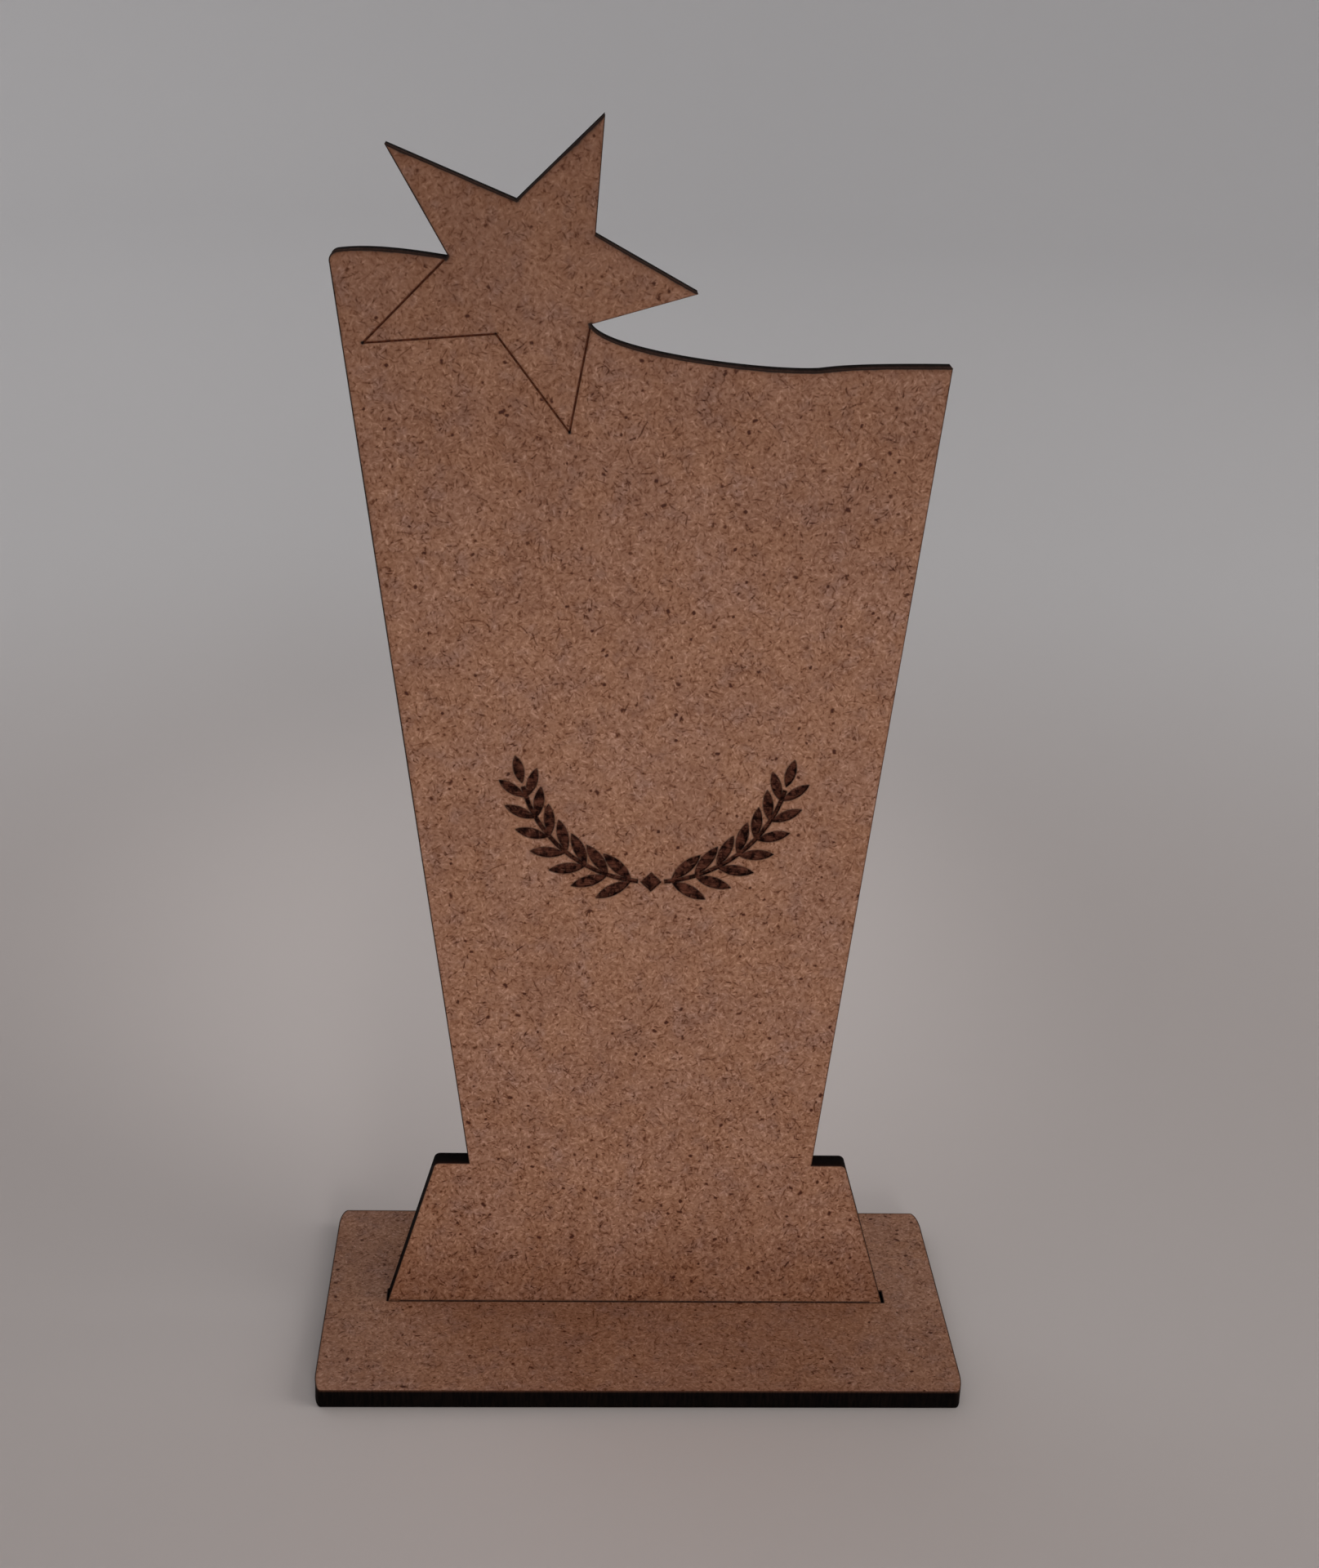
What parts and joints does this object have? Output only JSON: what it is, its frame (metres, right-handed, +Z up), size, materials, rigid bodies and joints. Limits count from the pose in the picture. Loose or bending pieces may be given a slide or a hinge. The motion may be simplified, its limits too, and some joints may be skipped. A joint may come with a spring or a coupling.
{
  "type": "star trophy",
  "caption": "Upright flared fibreboard plaque with a star at its upper left and a wavy top edge, standing by its slanted foot in the slot of a flat rectangular base plate.",
  "frame": {"origin": "on the surface that the trophy stands on, under the middle of the base plate", "axes": "+Z up, +X to the right seen from the front, +Y to the back, so the marked front face looks along -Y"},
  "size_m": [0.1, 0.05, 0.189],
  "materials": {
    "base_board": "matt brown fibreboard with dark laser-cut edges",
    "plaque_board": "matt brown fibreboard with dark laser-cut edges and engraved marks"
  },
  "bodies": {
    "base": {"base_plate": "base_board"},
    "plaque": {"plaque": "plaque_board"}
  },
  "joints": [
    {"name": "plaque_lift", "type": "slide", "parent": "base", "child": "plaque", "axis": [0, 0, 1], "range_m": [0, 0.02]}
  ]
}
